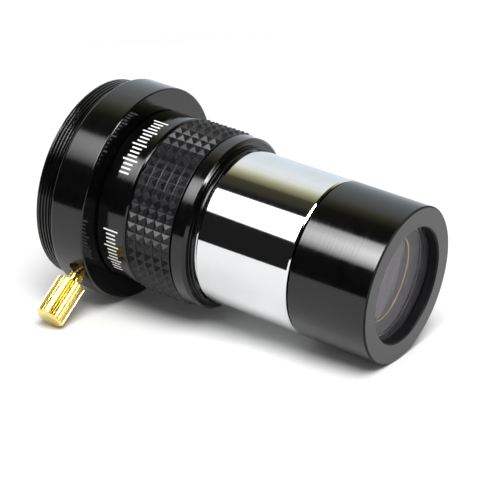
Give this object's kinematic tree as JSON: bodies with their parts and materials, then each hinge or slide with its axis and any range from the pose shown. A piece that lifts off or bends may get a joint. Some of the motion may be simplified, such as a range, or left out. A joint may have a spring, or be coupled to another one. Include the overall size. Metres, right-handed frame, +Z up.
{
  "type": "barlow lens",
  "caption": "Telescope barlow lens: black eyepiece holder with camera thread and brass thumbscrew, rubber grip, chromed nosepiece barrel and screw-in lens cell.",
  "frame": {"origin": "under the middle of the part's box, on the surface that the part lies on", "axes": "+Z up. +X is the long way, towards the nose; the optical axis dips 6.08 degrees below +X because the collar is wider than the nose. The thumbscrew points down and towards -Y."},
  "size_m": [0.0772, 0.0498, 0.0452],
  "materials": {
    "black_anodised": "gloss black anodised",
    "matt_black": "matt black",
    "chrome": "polished",
    "brass": "bright",
    "rubber": "moulded",
    "glass": "coated"
  },
  "bodies": {
    "body": {"eyepiece_holder": "black_anodised", "grip_body": "black_anodised", "rubber_grip": "rubber", "nosepiece_barrel": "chrome", "light_baffle": "matt_black"},
    "ring": {"compression_ring": "brass"},
    "screw": {"thumbscrew": "brass"},
    "glass": {"front_lens": "glass", "lens_spacer": "matt_black", "rear_lens": "glass"},
    "cell": {"lens_cell": "black_anodised", "lens_retainer": "matt_black"}
  },
  "joints": [
    {"name": "ring_squeeze", "type": "slide", "parent": "body", "child": "ring", "axis": [0.066, 0.7823, 0.6194], "range_m": [-0.00051, 0.00051]},
    {"name": "thumbscrew_turn", "type": "hinge", "parent": "ring", "child": "screw", "pos_m": [-0.02775, 0.00258, 0.02262], "axis": [0.066, 0.7823, 0.6194], "range_deg": [-360, 360]},
    {"name": "cell_travel", "type": "slide", "parent": "body", "child": "glass", "axis": [0.9944, 0, -0.106], "range_m": [0, 0.00451]},
    {"name": "cell_turn", "type": "hinge", "parent": "glass", "child": "cell", "pos_m": [0.02698, 0.00258, 0.01679], "axis": [0.9944, 0, -0.106], "range_deg": [0, 2160]}
  ],
  "couplings": [
    {"joint": "ring_squeeze", "follows": "thumbscrew_turn", "m_per_rad": 0.000079577},
    {"joint": "cell_travel", "follows": "cell_turn", "m_per_rad": 0.00011937}
  ]
}
